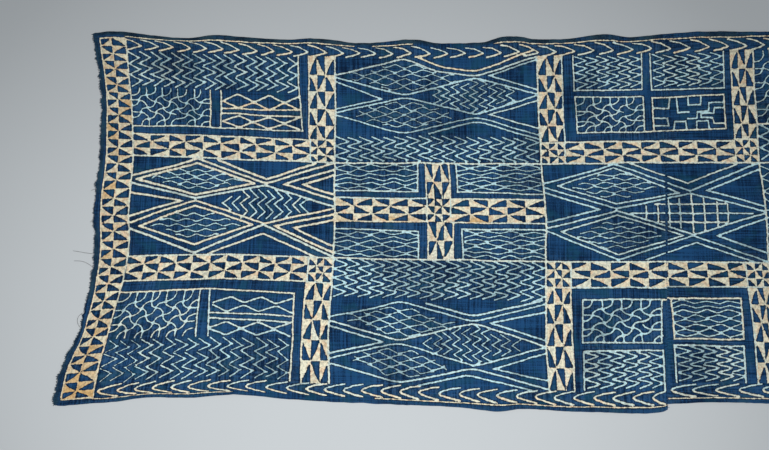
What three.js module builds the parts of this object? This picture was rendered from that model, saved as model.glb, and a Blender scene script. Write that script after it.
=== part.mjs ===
import * as THREE from 'three';

// A dyed cotton cloth of two webs sewn edge to edge, lying face up. Millimetres, +Z up.
const CLOTH_THICKNESS = 1.4;
const HEM_THICKNESS = 2.4;
const HEM_WIDTH = 13;
const SEAM_GAP = 0.32;
const COLUMN_STEP = 27;
const ROW_STEP = 28;

// The flat cloth: length along the hems and width between them.
const FLAT_LENGTH = 1600;
const FLAT_WIDTH = 806;

// The seam lies straight: its x where y is zero, and how far it leans for each millimetre of y.
const SEAM_X = 606;
const SEAM_LEAN = 0.057;
const SEAM_ALONG = 1230;

// Upright lines of the cloth: distance along the flat cloth, and x at each height across it.
const HEIGHTS = [0, 75, 150, 305, 412, 520, 660, 806];
const UPRIGHTS = [
  { along: 0, x: [-687, -672, -641, -619, -626, -621, -628, -656] },
  { along: 76, x: [-603, -593, -577, -547, -551, -549, -561, -582] },
  { along: 518, x: [-112, -114, -117, -108, -107, -107, -108, -110] },
  { along: 967, x: [341, 340, 339, 344, 347, 342, 340, 341] },
  { along: 1446, x: [828, 826, 824, 819, 822, 818, 821, 826] },
  { along: 1600, x: [976, 976, 976, 975, 974, 973, 974, 976] },
];

// Level lines of the cloth: height across the flat cloth, and y at each station along it.
const STATIONS = [0, 76, 297, 518, 742, 967, 1207, 1446, 1600];
const LEVELS = [
  { height: 305, y: [-72, -69, -65, -73, -77, -81, -81, -83, -83] },
  { height: 520, y: [158, 157, 148, 140, 138, 136, 140, 140, 140] },
  { height: 780, y: [421, 419, 409, 401, 400, 403, 410, 420, 422] },
];
const FOOT_HEIGHT = 26;

// Edges that waver: distance along the cloth and y.
const HEAD_EDGE = {
  along: [0, 40, 90, 173, 224, 258, 308, 426, 460, 510, 564, 671, 707, 743, 850, 886, 940, 957, 1028, 1100,
    1136, 1170, 1225, 1331, 1475, 1600],
  y: [444, 448, 445, 434, 434, 439, 436, 428, 431, 428, 420, 427, 427, 420, 423, 434, 434, 430, 430, 439,
    439, 434, 440, 447, 448, 448],
};
const LEFT_FOOT = {
  edge: {
    along: [0, 45, 120, 178, 253, 342, 431, 554, 652, 783, 864, 905, 1028, 1158, 1190, 1204, 1214],
    y: [-388, -382, -376, -367, -368, -362, -370, -378, -382, -388, -397, -391, -397, -400, -398, -393, -386],
  },
  border: {
    along: [0, 76, 297, 518, 742, 967, 1240],
    y: [-363, -356, -346, -353, -360, -369, -370],
  },
};
const RIGHT_FOOT = {
  edge: { along: [1200, 1305, 1403, 1600], y: [-381, -377, -380, -380] },
  border: { along: [1200, 1600], y: [-354, -354] },
};

// Low swells that keep the cloth from lying dead flat: centre, half size and rise.
const SWELLS = [
  { along: 35, height: 100, halfAlong: 95, halfHeight: 130, rise: 4 },
  { along: 60, height: 790, halfAlong: 70, halfHeight: 60, rise: 3 },
  { along: 258, height: 800, halfAlong: 55, halfHeight: 70, rise: 2.5 },
  { along: 460, height: 800, halfAlong: 50, halfHeight: 60, rise: 2 },
  { along: 690, height: 800, halfAlong: 60, halfHeight: 75, rise: 3 },
  { along: 913, height: 800, halfAlong: 55, halfHeight: 80, rise: 4 },
  { along: 1118, height: 800, halfAlong: 60, halfHeight: 80, rise: 4 },
  { along: 1340, height: 800, halfAlong: 90, halfHeight: 70, rise: 3 },
  { along: 340, height: 5, halfAlong: 90, halfHeight: 70, rise: 3 },
  { along: 870, height: 5, halfAlong: 60, halfHeight: 60, rise: 3 },
  { along: 1090, height: 5, halfAlong: 90, halfHeight: 60, rise: 2.5 },
  { along: 1330, height: 5, halfAlong: 90, halfHeight: 60, rise: 2.5 },
  { along: 300, height: 560, halfAlong: 190, halfHeight: 70, rise: 1.6 },
  { along: 760, height: 290, halfAlong: 170, halfHeight: 90, rise: 2 },
  { along: 1060, height: 430, halfAlong: 110, halfHeight: 150, rise: 1.6 },
  { along: 1420, height: 200, halfAlong: 110, halfHeight: 120, rise: 2 },
  { along: 1500, height: 610, halfAlong: 90, halfHeight: 150, rise: 2.4 },
];

function findSpan(knots, u) {
  let i = 0;
  while (i < knots.length - 2 && u > knots[i + 1]) {
    i += 1;
  }
  return i;
}

function linear(knots, values, u) {
  const i = findSpan(knots, u);
  const f = (u - knots[i]) / (knots[i + 1] - knots[i]);
  return values[i] + (values[i + 1] - values[i]) * f;
}

// A smooth curve through the values, with the slope at each knot taken from its neighbours.
function curve(knots, values, u) {
  const last = knots.length - 1;
  const slope = (k) => {
    const a = Math.max(k - 1, 0);
    const b = Math.min(k + 1, last);
    return (values[b] - values[a]) / (knots[b] - knots[a]);
  };
  const i = findSpan(knots, u);
  const span = knots[i + 1] - knots[i];
  const f = THREE.MathUtils.clamp((u - knots[i]) / span, 0, 1);
  const f2 = f * f;
  const f3 = f2 * f;
  return (
    (2 * f3 - 3 * f2 + 1) * values[i] +
    (f3 - 2 * f2 + f) * span * slope(i) +
    (3 * f2 - 2 * f3) * values[i + 1] +
    (f3 - f2) * span * slope(i + 1)
  );
}

function lieX(along, height) {
  const knots = UPRIGHTS.map((line) => line.along);
  const values = UPRIGHTS.map((line) => curve(HEIGHTS, line.x, height));
  return linear(knots, values, along);
}

function lieY(along, height, foot) {
  const knots = [0, FOOT_HEIGHT, ...LEVELS.map((line) => line.height), FLAT_WIDTH];
  const values = [
    curve(foot.edge.along, foot.edge.y, along),
    curve(foot.border.along, foot.border.y, along),
    ...LEVELS.map((line) => curve(STATIONS, line.y, along)),
    curve(HEAD_EDGE.along, HEAD_EDGE.y, along),
  ];
  return linear(knots, values, height);
}

function lift(along, height) {
  let z = 0;
  for (const swell of SWELLS) {
    const a = (along - swell.along) / swell.halfAlong;
    const b = (height - swell.height) / swell.halfHeight;
    const reach = Math.min(Math.hypot(a, b), 1);
    z = Math.max(z, swell.rise * Math.cos(reach * Math.PI / 2) ** 2);
  }
  return z;
}

// A turned hem is rounded at its fold and steps down to the single cloth.
function thickness(fromEdge) {
  const knots = [0, 2, 4, HEM_WIDTH - 3, HEM_WIDTH];
  const values = [1.2, 2.1, HEM_THICKNESS, HEM_THICKNESS, CLOTH_THICKNESS];
  return fromEdge >= HEM_WIDTH ? CLOTH_THICKNESS : linear(knots, values, fromEdge);
}

function spread(from, to, step) {
  const count = Math.ceil((to - from) / step);
  return Array.from({ length: count + 1 }, (_, i) => from + (to - from) * i / count);
}

const HEM_ROWS = [0, 2, 4, HEM_WIDTH - 3];
const ROWS = [
  ...HEM_ROWS,
  ...spread(HEM_WIDTH, FLAT_WIDTH - HEM_WIDTH, ROW_STEP),
  ...HEM_ROWS.map((d) => FLAT_WIDTH - d).reverse(),
];

// One web: a grid of points over its face, the same grid below, and walls around the rim.
function makeWeb(name, columns, place, colour) {
  const wide = columns.length;
  const high = ROWS.length;
  const face = [];
  const back = [];
  for (const height of ROWS) {
    for (const column of columns) {
      const p = place(column, height);
      const z = lift(p.along, height);
      const hem = Math.min(height, FLAT_WIDTH - height, p.fromEnd);
      face.push(p.x, p.y, z + thickness(hem));
      back.push(p.x, p.y, z);
    }
  }
  const index = [];
  const below = wide * high;
  const quad = (a, b, c, d) => index.push(a, b, c, a, c, d);
  for (let j = 0; j < high - 1; j += 1) {
    for (let i = 0; i < wide - 1; i += 1) {
      const a = j * wide + i;
      quad(a, a + 1, a + wide + 1, a + wide);
      quad(below + a, below + a + wide, below + a + wide + 1, below + a + 1);
    }
  }
  for (let i = 0; i < wide - 1; i += 1) {
    const top = (high - 1) * wide + i;
    quad(below + i, below + i + 1, i + 1, i);
    quad(below + top + 1, below + top, top, top + 1);
  }
  for (let j = 0; j < high - 1; j += 1) {
    const left = j * wide;
    const right = left + wide - 1;
    quad(below + left + wide, below + left, left, left + wide);
    quad(below + right, below + right + wide, right + wide, right);
  }
  const geometry = new THREE.BufferGeometry();
  geometry.setAttribute('position', new THREE.Float32BufferAttribute([...face, ...back], 3));
  geometry.setIndex(index);
  geometry.computeVertexNormals();
  const material = new THREE.MeshStandardMaterial({ color: colour, roughness: 0.95, metalness: 0 });
  const mesh = new THREE.Mesh(geometry, material);
  mesh.name = name;
  return mesh;
}

const seamX = (y) => SEAM_X + SEAM_LEAN * y;

// Where the seam crosses a height of the flat cloth, found by a few steps from a first guess.
function seamAlong(height, foot) {
  const [before, after] = [UPRIGHTS[3], UPRIGHTS[4]];
  const xBefore = curve(HEIGHTS, before.x, height);
  const xAfter = curve(HEIGHTS, after.x, height);
  let along = SEAM_ALONG;
  for (let step = 0; step < 6; step += 1) {
    const share = (seamX(lieY(along, height, foot)) - xBefore) / (xAfter - xBefore);
    along = before.along + share * (after.along - before.along);
  }
  return along;
}

// Left web: columns are shares of the way from the raw edge to the seam, closer near the rounded corner.
const nearSeam = [22, 13, 7, 3, 0].map((d) => 1 - d / SEAM_ALONG);
const leftColumns = [...spread(0, 0.97, COLUMN_STEP / SEAM_ALONG), ...nearSeam];
const leftWeb = makeWeb('left_web', leftColumns, (share, height) => {
  const along = share * seamAlong(height, LEFT_FOOT);
  const y = lieY(along, height, LEFT_FOOT);
  const x = share === 1 ? seamX(y) : lieX(along, height);
  return { x: x - share * SEAM_GAP / 2, y, along, fromEnd: FLAT_LENGTH };
}, 0x24456f);

// Right web: columns are shares of the way from the seam to the plain hem at the end.
const nearEnd = [HEM_WIDTH, HEM_WIDTH - 3, 4, 2, 0].map((d) => 1 - d / (FLAT_LENGTH - SEAM_ALONG));
const rightColumns = [...spread(0, 0.94, COLUMN_STEP / (FLAT_LENGTH - SEAM_ALONG)), ...nearEnd];
const rightWeb = makeWeb('right_web', rightColumns, (share, height) => {
  const start = seamAlong(height, RIGHT_FOOT);
  const along = start + share * (FLAT_LENGTH - start);
  const y = lieY(along, height, RIGHT_FOOT);
  const x = share === 0 ? seamX(y) : lieX(along, height);
  return { x: x + (1 - share) * SEAM_GAP / 2, y, along, fromEnd: FLAT_LENGTH - along };
}, 0x22416a);

// The frame's origin is under the middle of the cloth, on the surface it lies on.
const cloth = new THREE.Group();
cloth.name = 'cloth';
const box = new THREE.Box3();
for (const web of [leftWeb, rightWeb]) {
  web.geometry.computeBoundingBox();
  box.union(web.geometry.boundingBox);
}
const centre = box.getCenter(new THREE.Vector3());
for (const web of [leftWeb, rightWeb]) {
  web.geometry.translate(-centre.x, -centre.y, -box.min.z);
  cloth.add(web);
}

export default cloth;
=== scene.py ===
import math
import random

import bpy
import numpy as np
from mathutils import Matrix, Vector, noise
from mathutils.geometry import delaunay_2d_cdt


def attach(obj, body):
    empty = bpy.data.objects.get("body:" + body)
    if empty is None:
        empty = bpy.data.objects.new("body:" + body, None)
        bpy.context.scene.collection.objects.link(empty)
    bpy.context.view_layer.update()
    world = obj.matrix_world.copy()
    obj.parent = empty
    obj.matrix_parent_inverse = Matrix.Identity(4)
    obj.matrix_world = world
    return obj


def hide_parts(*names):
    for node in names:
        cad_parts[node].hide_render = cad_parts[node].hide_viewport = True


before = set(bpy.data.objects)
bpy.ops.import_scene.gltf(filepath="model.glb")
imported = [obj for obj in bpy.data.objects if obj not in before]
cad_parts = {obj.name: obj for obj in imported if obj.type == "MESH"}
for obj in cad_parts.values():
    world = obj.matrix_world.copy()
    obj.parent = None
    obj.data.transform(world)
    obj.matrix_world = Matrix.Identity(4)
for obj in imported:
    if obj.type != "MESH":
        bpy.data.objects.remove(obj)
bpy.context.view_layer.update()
scene = bpy.context.scene
print("frame loaded")


class Wire:  # one socket of a node tree, with arithmetic
    def __init__(self, board, socket):
        self.board = board
        self.socket = socket

    def __add__(self, other):
        return self.board.maths("ADD", self, other)

    def __sub__(self, other):
        return self.board.maths("SUBTRACT", self, other)

    def __rsub__(self, other):
        return self.board.maths("SUBTRACT", other, self)

    def __mul__(self, other):
        return self.board.maths("MULTIPLY", self, other)

    __radd__ = __add__
    __rmul__ = __mul__


class Board:  # one node tree
    def __init__(self, tree):
        self.tree = tree
        tree.nodes.clear()

    def add(self, kind, settings=None, inputs=None, output=0):
        node = self.tree.nodes.new(kind)
        for name, value in (settings or {}).items():
            setattr(node, name, value)
        for name, value in (inputs or {}).items():
            if isinstance(value, Wire):
                self.tree.links.new(value.socket, node.inputs[name])
            else:
                node.inputs[name].default_value = value
        return Wire(self, node.outputs[output]) if len(node.outputs) else node

    def maths(self, operation, first, second):
        return self.add("ShaderNodeMath", {"operation": operation}, {0: first, 1: second})

    def soften(self, value, low, high):
        settings = {"interpolation_type": "SMOOTHSTEP"}
        return self.add("ShaderNodeMapRange", settings, {0: value, 1: low, 2: high})

    def blend(self, share, first, second, mode="MIX"):
        settings = {"data_type": "RGBA", "blend_type": mode}
        return self.add("ShaderNodeMix", settings, {0: share, 6: first, 7: second}, output=2)

    def stretch(self, place, by):
        return self.add("ShaderNodeVectorMath", {"operation": "MULTIPLY"}, {0: place, 1: by})

    def mottle(self, place, scale, detail=2.0):
        inputs = {"Vector": place, "Scale": scale, "Detail": detail, "Roughness": 0.55}
        return self.add("ShaderNodeTexNoise", {"noise_dimensions": "2D"}, inputs)

    def finish(self, inputs):
        skin = self.add("ShaderNodeBsdfPrincipled", None, inputs)
        self.add("ShaderNodeOutputMaterial", None, {"Surface": skin})


def newMaterial(name):
    material = bpy.data.materials.new(name)
    material.use_nodes = True
    return material, Board(material.node_tree)


def addObject(name, data):
    thing = bpy.data.objects.new(name, data)
    scene.collection.objects.link(thing)
    return thing


studio = {
    "cameraAt": (-0.1445, -0.5795, 2.2278),  # metres
    "cameraTilt": 14,  # degrees off straight down
    "lens": 50,
    "sensor": 36,
    "floorHalf": 4.5,
    "floorDrop": 0.0003,
    "floorColour": (0.565, 0.592, 0.606, 1),
    "floorDull": (0.97, 0.97, 0.97, 1),  # least share of that colour in its mottling
    "floorShadeFar": (0.83, 0.83, 0.835, 1),  # painted shade: share of that colour behind the cloth, where the paper is drawn darker
    "floorShadeFade": (-0.1, 0.8),  # from where to where that painted shade sets in
    "floorGlow": (0.225, 0.24, 0.25, 1),  # painted light: the floor glows to keep it pale where the lamp's pool ends
    "pool": (-0.18, -0.21, 0),  # middle of that pool
    "poolEnds": (1.0, 1.68),
    "lampAt": (-0.18, -0.95, 3.0),
    "lampTilt": 13.8,
    "lampPower": 368,
    "lampCone": 60,
    "lampRadius": 0.55,
    "skyColour": (0.80, 0.88, 0.95, 1),
    "skyStrength": 0.2,
}


def makeCamera():
    camera = addObject("camera", bpy.data.cameras.new("camera"))
    camera.location = studio["cameraAt"]
    camera.rotation_euler = (math.radians(studio["cameraTilt"]), 0, 0)
    camera.data.lens = studio["lens"]
    camera.data.sensor_width = studio["sensor"]
    scene.camera = camera
    scene.view_settings.view_transform = "Standard"


def makePaper():
    paper, board = newMaterial("backdropPaper")
    place = board.add("ShaderNodeTexCoord", output=3)
    depth = board.add("ShaderNodeSeparateXYZ", None, {0: place}, output=1)
    shade = board.blend(board.mottle(place, 3.0), studio["floorDull"], (1, 1, 1, 1))
    # painted shade: the paper is drawn darker behind the cloth, away from the front
    shade = board.blend(board.soften(depth, *studio["floorShadeFade"]), shade, studio["floorShadeFar"])
    colour = board.blend(1.0, shade, studio["floorColour"], "MULTIPLY")
    # painted light: the floor glows past the lamp's pool, though it is no lamp
    settings = {"operation": "DISTANCE"}
    far = board.add("ShaderNodeVectorMath", settings, {0: place, 1: studio["pool"]}, output=1)
    glow = board.blend(board.soften(far, *studio["poolEnds"]), (0, 0, 0, 1), studio["floorGlow"])
    board.finish({"Base Color": colour, "Roughness": 0.9, "Specular IOR Level": 0.1,
                  "Emission Color": glow, "Emission Strength": 1.0})
    return paper


def makeFloor():
    half = studio["floorHalf"]
    drop = -studio["floorDrop"]
    mesh = bpy.data.meshes.new("floor")
    corners = [(-half, -half, drop), (half, -half, drop), (half, half, drop), (-half, half, drop)]
    mesh.from_pydata(corners, [], [(0, 1, 2, 3)])
    floor = addObject("floor", mesh)
    mesh.materials.append(makePaper())


def makeLights():
    lamp = addObject("lamp", bpy.data.lights.new("lamp", "SPOT"))
    lamp.location = studio["lampAt"]
    lamp.rotation_euler = (math.radians(studio["lampTilt"]), 0, 0)
    lamp.data.energy = studio["lampPower"]
    lamp.data.spot_size = math.radians(studio["lampCone"])
    lamp.data.spot_blend = 1.0
    lamp.data.shadow_soft_size = studio["lampRadius"]
    world = bpy.data.worlds.new("studio")
    world.use_nodes = True
    sky = world.node_tree.nodes["Background"]
    sky.inputs["Color"].default_value = studio["skyColour"]
    sky.inputs["Strength"].default_value = studio["skyStrength"]
    scene.world = world


# How the cloth lies: flat distances along and up the cloth in millimetres, and where they come to rest.
lie = {
    "length": 1600,
    "width": 806,
    "middle": (144.524, 24.029),  # the frame's origin in the measuring plan
    "seamX": 606,
    "seamLean": 0.057,
    "seamGap": 0.32,
    "seamBetween": (967, 1446),  # the uprights on either side of it
    "seamGuess": 1230.0,  # first guess of its distance along the cloth
    "seamSteps": 6,
    "hemRows": [0, 2, 4, 10, 13],
    "hemThickness": [1.2, 2.1, 2.4, 2.4, 1.4],
    "heights": [0, 75, 150, 305, 412, 520, 660, 806],
    "uprights": {
        0: [-687, -672, -641, -619, -626, -621, -628, -656],
        76: [-603, -593, -577, -547, -551, -549, -561, -582],
        518: [-112, -114, -117, -108, -107, -107, -108, -110],
        967: [341, 340, 339, 344, 347, 342, 340, 341],
        1446: [828, 826, 824, 819, 822, 818, 821, 826],
        1600: [976, 976, 976, 975, 974, 973, 974, 976],
    },
    "stations": [0, 76, 297, 518, 742, 967, 1207, 1446, 1600],
    "levels": {
        305: [-72, -69, -65, -73, -77, -81, -81, -83, -83],
        520: [158, 157, 148, 140, 138, 136, 140, 140, 140],
        780: [421, 419, 409, 401, 400, 403, 410, 420, 422],
    },
    "headAlong": [0, 40, 90, 173, 224, 258, 308, 426, 460, 510, 564, 671, 707, 743, 850, 886, 940, 957, 1028,
                  1100, 1136, 1170, 1225, 1331, 1475, 1600],
    "headY": [444, 448, 445, 434, 434, 439, 436, 428, 431, 428, 420, 427, 427, 420, 423, 434, 434, 430, 430,
              439, 439, 434, 440, 447, 448, 448],
    "footHeight": 26,
}
leftFoot = {
    "edgeAlong": [0, 45, 120, 178, 253, 342, 431, 554, 652, 783, 864, 905, 1028, 1158, 1190, 1204, 1214],
    "edgeY": [-388, -382, -376, -367, -368, -362, -370, -378, -382, -388, -397, -391, -397, -400, -398, -393,
              -386],
    "borderAlong": [0, 76, 297, 518, 742, 967, 1240],
    "borderY": [-363, -356, -346, -353, -360, -369, -370],
}
rightFoot = {
    "edgeAlong": [1200, 1305, 1403, 1600],
    "edgeY": [-381, -377, -380, -380],
    "borderAlong": [1200, 1600],
    "borderY": [-354, -354],
}
swells = [  # along, height, half size along, half size up, rise
    (35, 100, 95, 130, 4), (60, 790, 70, 60, 3), (258, 800, 55, 70, 2.5), (460, 800, 50, 60, 2),
    (690, 800, 60, 75, 3), (913, 800, 55, 80, 4), (1118, 800, 60, 80, 4), (1340, 800, 90, 70, 3),
    (340, 5, 90, 70, 3), (870, 5, 60, 60, 3), (1090, 5, 90, 60, 2.5), (1330, 5, 90, 60, 2.5),
    (300, 560, 190, 70, 1.6), (760, 290, 170, 90, 2), (1060, 430, 110, 150, 1.6), (1420, 200, 110, 120, 2),
    (1500, 610, 90, 150, 2.4),
]


def findSpan(knots, at):
    return np.clip(np.searchsorted(knots, at) - 1, 0, len(knots) - 2)


def curveAt(knots, values, at):
    knots = np.array(knots, float)
    values = np.array(values, float)
    slopes = np.array([
        (values[min(k + 1, len(knots) - 1)] - values[max(k - 1, 0)])
        / (knots[min(k + 1, len(knots) - 1)] - knots[max(k - 1, 0)])
        for k in range(len(knots))
    ])
    i = findSpan(knots, at)
    span = knots[i + 1] - knots[i]
    f = np.clip((at - knots[i]) / span, 0, 1)
    start = (2 * f**3 - 3 * f**2 + 1) * values[i] + (f**3 - 2 * f**2 + f) * span * slopes[i]
    return start + (3 * f**2 - 2 * f**3) * values[i + 1] + (f**3 - f**2) * span * slopes[i + 1]


def between(knots, lines, at):
    knots = np.array(knots, float)
    lines = np.array(lines)
    i = findSpan(knots, at)
    share = (at - knots[i]) / (knots[i + 1] - knots[i])
    row = np.arange(len(at))
    return lines[i, row] * (1 - share) + lines[i + 1, row] * share


def lieX(along, height):
    lines = [curveAt(lie["heights"], line, height) for line in lie["uprights"].values()]
    return between(list(lie["uprights"]), lines, along)


def lieY(along, height, foot):
    knots = [0, lie["footHeight"], *lie["levels"], lie["width"]]
    lines = [curveAt(foot["edgeAlong"], foot["edgeY"], along)]
    lines.append(curveAt(foot["borderAlong"], foot["borderY"], along))
    lines += [curveAt(lie["stations"], line, along) for line in lie["levels"].values()]
    lines.append(curveAt(lie["headAlong"], lie["headY"], along))
    return between(knots, lines, height)


def seamAlong(height, foot):
    start, end = lie["seamBetween"]
    before, after = (curveAt(lie["heights"], lie["uprights"][at], height) for at in (start, end))
    along = np.full(len(height), lie["seamGuess"])
    for step in range(lie["seamSteps"]):
        x = lie["seamX"] + lie["seamLean"] * lieY(along, height, foot)
        along = start + (x - before) / (after - before) * (end - start)
    return along


def liftOf(along, height):
    rise = np.zeros(len(along))
    for atAlong, atHeight, halfAlong, halfHeight, top in swells:
        reach = np.hypot((along - atAlong) / halfAlong, (height - atHeight) / halfHeight)
        rise = np.maximum(rise, top * np.cos(np.minimum(reach, 1) * math.pi / 2) ** 2)
    return rise


# Dye-resist marks in flat millimetres: lines have a half width, patches are triangles, both have a warmth.
lines = []
patches = []
hand = random.Random(41)
noise.seed_set(41)  # noise_vector starts from the clock without it
drawing = {
    "step": 9,  # longest piece of a drawn line
    "cornerReach": 9,  # how far a bend is rounded
    "wander": 1.8,  # slow drift of a line drawn by hand
    "wanderRate": 0.017,  # to a millimetre
    "shake": 0.4,
    "toneVary": 0.14,
    "widthVary": (0.93, 1.08),
    "band": 0.85,  # warmth of the triangle bands
    "rule": 2.1,  # half width of a ruled line
    "cell": 1.1,  # half width of the line between two cells
    "bow": 0.11,  # how far a triangle's long side is drawn in
    "blunt": 0.05,  # how far a triangle's points are cut short
    "hemRule": 1.5,  # half width of the line along a hem
    "tip": 1.12,  # how far a chevron's tip reaches, in columns
}


def sway(size):
    return hand.uniform(-size, size)


def spread(start, end, count):
    return [start + (end - start) * k / count for k in range(count + 1)]


def bend(start, pull, end, shares):  # points of a curve that leans towards a third point
    return [start.lerp(pull, f).lerp(pull.lerp(end, f), f) for f in shares]


def chartOn(across, up):  # from shares of a panel's length and height to flat millimetres
    return lambda u, v: (across[0] + (across[1] - across[0]) * u, up[0] + (up[1] - up[0]) * v)


def cutCorners(points):  # rounds the bends of a line
    out = [points[0]]
    for a, b in zip(points, points[1:]):
        share = min(0.25, drawing["cornerReach"] / (b - a).length)
        out += [a.lerp(b, share), b.lerp(a, share)]
    return out + [points[-1]]


def wander(x, y):
    rate = drawing["wanderRate"]
    slow = noise.noise_vector(Vector((x * rate, y * rate, 4.2))) * drawing["wander"]
    return (x + slow.x + sway(drawing["shake"]), y + slow.y + sway(drawing["shake"]))


def drawLine(points, half, warmth, rounds=0):
    points = [Vector(p) for p in points]
    for turn in range(rounds):
        points = cutCorners(points)
    out = []
    for a, b in zip(points, points[1:]):
        count = max(1, math.ceil((b - a).length / drawing["step"]))
        out += [a.lerp(b, k / count) for k in range(count)]
    out.append(points[-1])
    tone = warmth + sway(drawing["toneVary"])
    path = np.array([wander(p.x, p.y) for p in out])
    lines.append((path, half * hand.uniform(*drawing["widthVary"]), tone))


def drawRuns(points, skip, **look):  # a line with a few stitches missed
    run = []
    for p in [*points, None]:
        if p and hand.random() > skip:
            run.append(p)
            continue
        if len(run) > 3:
            drawLine(run, **look)
        run = []


def chevronField(across, up, columns, turns, half=2.1, warmth=0.3, loose=1.0, missed=0.4):
    pitch = (across[1] - across[0]) / columns
    vary = lambda low, high: hand.uniform(low, high) * loose
    for k in range(columns):
        start = across[0] + pitch * k + vary(-1.5, 1.5)
        levels = spread(up[1] + vary(-2, 2), up[0] + vary(-1, 4), turns)
        points = [(start + vary(-1, 3), levels[0])]
        for j, level in enumerate(levels[1:], 1):
            level += vary(-1.5, 1.5)
            tip = min(start + pitch * drawing["tip"] + vary(-2.5, 2), across[1] + 1)
            valley = start + vary(-1.6, 1.6)
            if j % 2:
                points += [(tip - 5, level + 2), (tip - 0.8, level + 0.4), (tip - 4, level - 1.6)]
            elif j == turns:
                points.append((valley + 2, level))
            elif hand.random() < missed:  # a stitch missed at the turn
                drawLine([*points, (valley + 2, level + 1.2)], half, warmth)
                points = [(valley, level - 2.4)]
            else:
                points += [(valley + 2.6, level + 1.4), (valley, level), (valley + 2.4, level - 1.5)]
        drawLine(points, half, warmth)


def waveLine(across, level, swing, period, first, half, warmth, stray):
    count = max(2, round((across[1] - across[0]) / (period / 2)))
    points = []
    for j, x in enumerate(spread(across[0], across[1], count)):
        side = swing if (j + first) % 2 else -swing
        x += sway(4) * stray * (0 < j < count)
        y = level + side + sway(1.3) * stray
        if 0 < j < count:
            points += [(x - 2.5, y - side * 0.14), (x + 2.5, y - side * 0.14)]
        else:
            points.append((x, y))
    drawLine(points, half, warmth)


def lozengeField(across, up, rows, period, half=1.75, warmth=0.2):
    gap = (up[1] - up[0]) / rows
    first = 0
    for k in range(rows):
        first += hand.random() < 0.8  # now and then two rows run side by side
        waveLine(across, up[0] + gap * (k + 0.5), gap * 0.33, period, first, half, warmth, 0.8)


def stepCurve(path, upright):  # rounded steps from crossing to crossing, upright and level by turns
    points = []
    for a, b in zip(path, path[1:]):
        corner = Vector((a.x, b.y)) if upright else Vector((b.x, a.y))
        pull = ((a + b) / 2).lerp(corner, 0.75)
        points += bend(a, pull, b, (0, 0.25, 0.5, 0.75))
        upright = not upright
    return [*points, path[-1]]


def wormField(across, up, columns, rows, half=1.8, warmth=0.3):  # rising and falling steps that interlace
    stepX = (across[1] - across[0]) / columns / 2
    stepY = (up[1] - up[0]) * 0.94 / rows / 2
    lastI = 2 * columns
    lastJ = 2 * rows
    knots = {}
    for i in range(lastI + 1):
        for j in range((i + 1) % 2, lastJ + 1, 2):
            x = across[0] + stepX * i + sway(2.5) * (0 < i < lastI)
            y = up[0] + stepY * j + sway(2) * (0 < j < lastJ)
            knots[i, j] = Vector((x, y))
    starts = [(2 * k, lastJ - 1, -1) for k in range(1, columns)] + [(1, 2 * k, -1) for k in range(1, rows)]
    starts += [(0, 2 * k + 1, 1) for k in range(rows)] + [(2 * k + 1, 0, 1) for k in range(columns)]
    for i, j, rise in starts:
        path = [knots[i, j]]
        upright = (j % 2 == 1) == (rise < 0)
        lead = (path[0].x, up[1]) if upright else (across[0], path[0].y)
        inner = lambda: i + 1 < lastI and j > 1
        while (i + 1, j + rise) in knots and (rise > 0 or inner()):
            i += 1
            j += rise
            path.append(knots[i, j])
        points = stepCurve(path, upright)
        if rise < 0:
            tail = (path[-1].x, up[0]) if j % 2 else (across[1], path[-1].y)
            points = [lead, *points, tail]
        elif j == lastJ:
            points.append((path[-1].x, up[1]))
        drawRuns(points, 0.005, half=half, warmth=warmth)


def triangleField(columns, rows, side, top, ruled="", warmth=None):  # ruled: left, right, top, bottom
    warmth = drawing["band"] if warmth is None else warmth
    columns = [columns[0], *[x + sway(2) for x in columns[1:-1]], columns[-1]]
    rows = [rows[0], *[y + sway(1) for y in rows[1:-1]], rows[-1]]
    for r, (high, low) in enumerate(zip(rows, rows[1:])):
        for c, (left, right) in enumerate(zip(columns, columns[1:])):
            onRight = (r + side) % 2 == 0
            onTop = (c + top) % 2 == 0
            near, far = (right, left) if onRight else (left, right)
            level, other = (high, low) if onTop else (low, high)
            corner = Vector((near, level))
            start = Vector((far, level + (other - level) * hand.uniform(0, drawing["blunt"])))
            end = Vector((near + (far - near) * hand.uniform(0, drawing["blunt"]), other))
            pull = ((start + end) / 2).lerp(corner, 2 * drawing["bow"] * hand.uniform(0.3, 1.5))
            curve = bend(start, pull, end, spread(0, 1, 4))
            shape = [corner, Vector((far, level)), *curve, Vector((near, other))]
            heat = warmth + hand.uniform(-0.2, 0.25)
            patches.append((np.array([wander(p.x, p.y) for p in shape]), heat))
    x, toX, y, toY = columns[0], columns[-1], rows[0], rows[-1]
    outline = {"l": (x, y, x, toY), "r": (toX, y, toX, toY), "t": (x, y, toX, y), "b": (x, toY, toX, toY)}
    for edge in ruled:
        drawLine([outline[edge][:2], outline[edge][2:]], drawing["rule"], warmth - 0.3)
    for x in columns[1:-1]:
        drawLine([(x, rows[0]), (x, rows[-1])], drawing["cell"], warmth - 0.2)
    for y in rows[1:-1]:
        drawLine([(columns[0], y), (columns[-1], y)], drawing["cell"], warmth - 0.2)


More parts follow.
